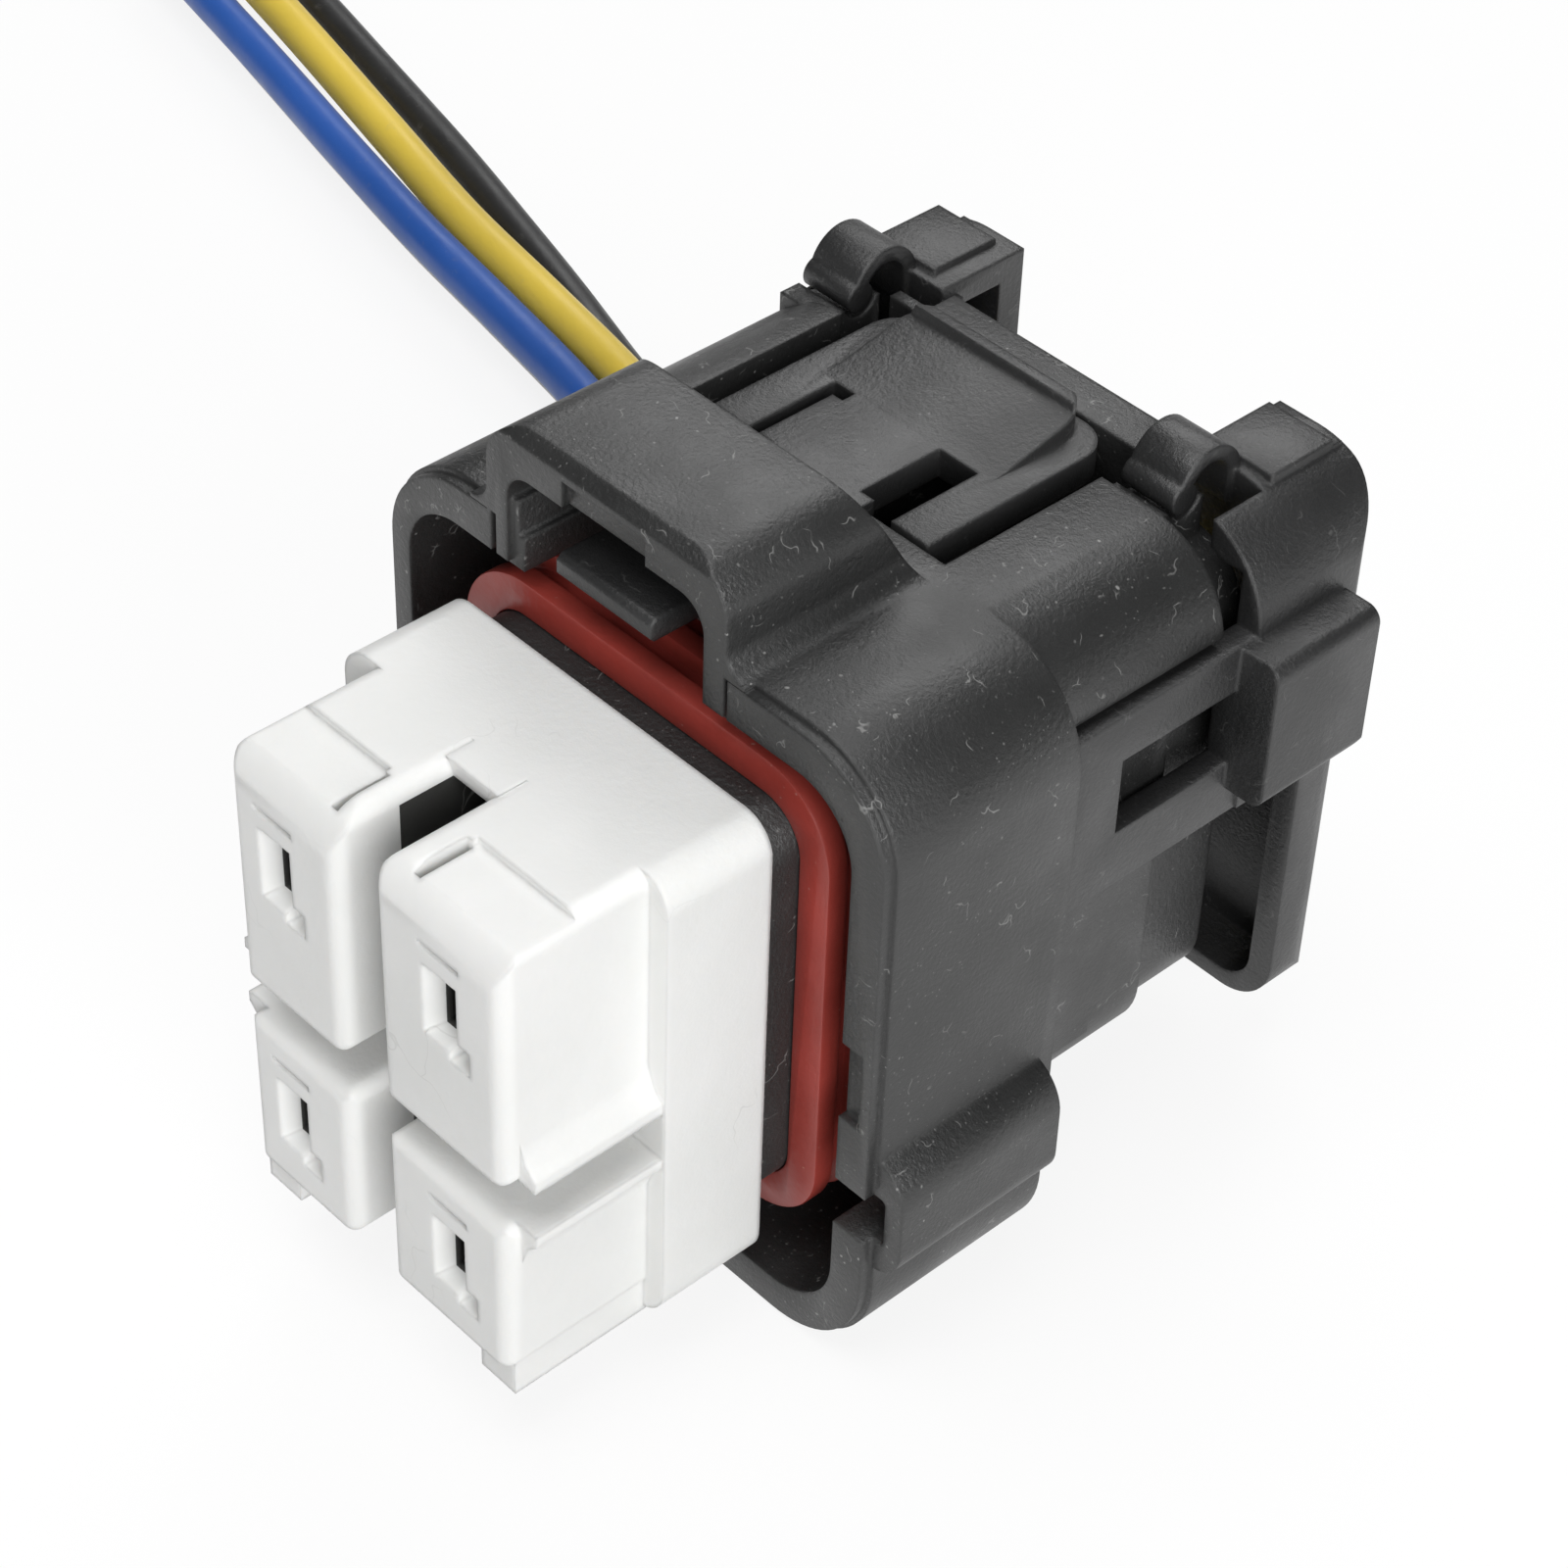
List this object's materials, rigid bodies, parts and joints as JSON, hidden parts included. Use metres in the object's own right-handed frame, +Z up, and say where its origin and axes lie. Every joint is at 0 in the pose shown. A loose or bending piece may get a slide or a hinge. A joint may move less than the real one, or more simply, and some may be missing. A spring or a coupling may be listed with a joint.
{
  "type": "sealed automotive connector plug with short leads",
  "caption": "Sealed automotive plug: front holder and seal in a hood with a lock lever, strap-hinged rear cover, crimped terminals and short leads.",
  "frame": {"origin": "under the middle of the connector body, on the surface that the hood stands on (the leads are left out of the box)", "axes": "-Y out of the mating face, +Z up through the lock's guard, +X to the right seen from the mating face"},
  "size_m": [0.1367, 0.077, 0.0419],
  "materials": {
    "black_plastic": "satin moulded",
    "white_plastic": "satin moulded",
    "red_silicone": "matt moulded",
    "tinned_sheet": "tin plated",
    "spring_bronze": "rolled",
    "blue_insulation": "extruded",
    "yellow_insulation": "extruded",
    "white_insulation": "extruded",
    "black_insulation": "extruded"
  },
  "bodies": {
    "housing": {"housing": "black_plastic", "front_holder": "white_plastic", "perimeter_seal": "red_silicone", "terminal_upper_left": "tinned_sheet", "terminal_upper_right": "tinned_sheet", "terminal_lower_left": "tinned_sheet", "terminal_lower_right": "tinned_sheet", "spring_upper_left": "spring_bronze", "spring_upper_right": "spring_bronze", "spring_lower_left": "spring_bronze", "spring_lower_right": "spring_bronze", "wire_seal_upper_left": "red_silicone", "wire_seal_upper_right": "red_silicone", "wire_seal_lower_left": "red_silicone", "wire_seal_lower_right": "red_silicone", "lead_blue": "blue_insulation", "lead_yellow": "yellow_insulation", "lead_white": "white_insulation", "lead_black": "black_insulation"},
    "lock_lever": {"lock_lever": "black_plastic"},
    "rear_cover": {"rear_cover": "black_plastic"}
  },
  "joints": [
    {"name": "lock_press", "type": "hinge", "parent": "housing", "child": "lock_lever", "pos_m": [-0.0015, 0.0037, 0.0359], "axis": [-1, 0, 0], "range_deg": [0, 6], "stiffness_Nm_per_rad": 0.12},
    {"name": "cover_open", "type": "hinge", "parent": "housing", "child": "rear_cover", "pos_m": [0, 0.0154, 0.0365], "axis": [1, 0, 0], "range_deg": [0, 75]}
  ]
}
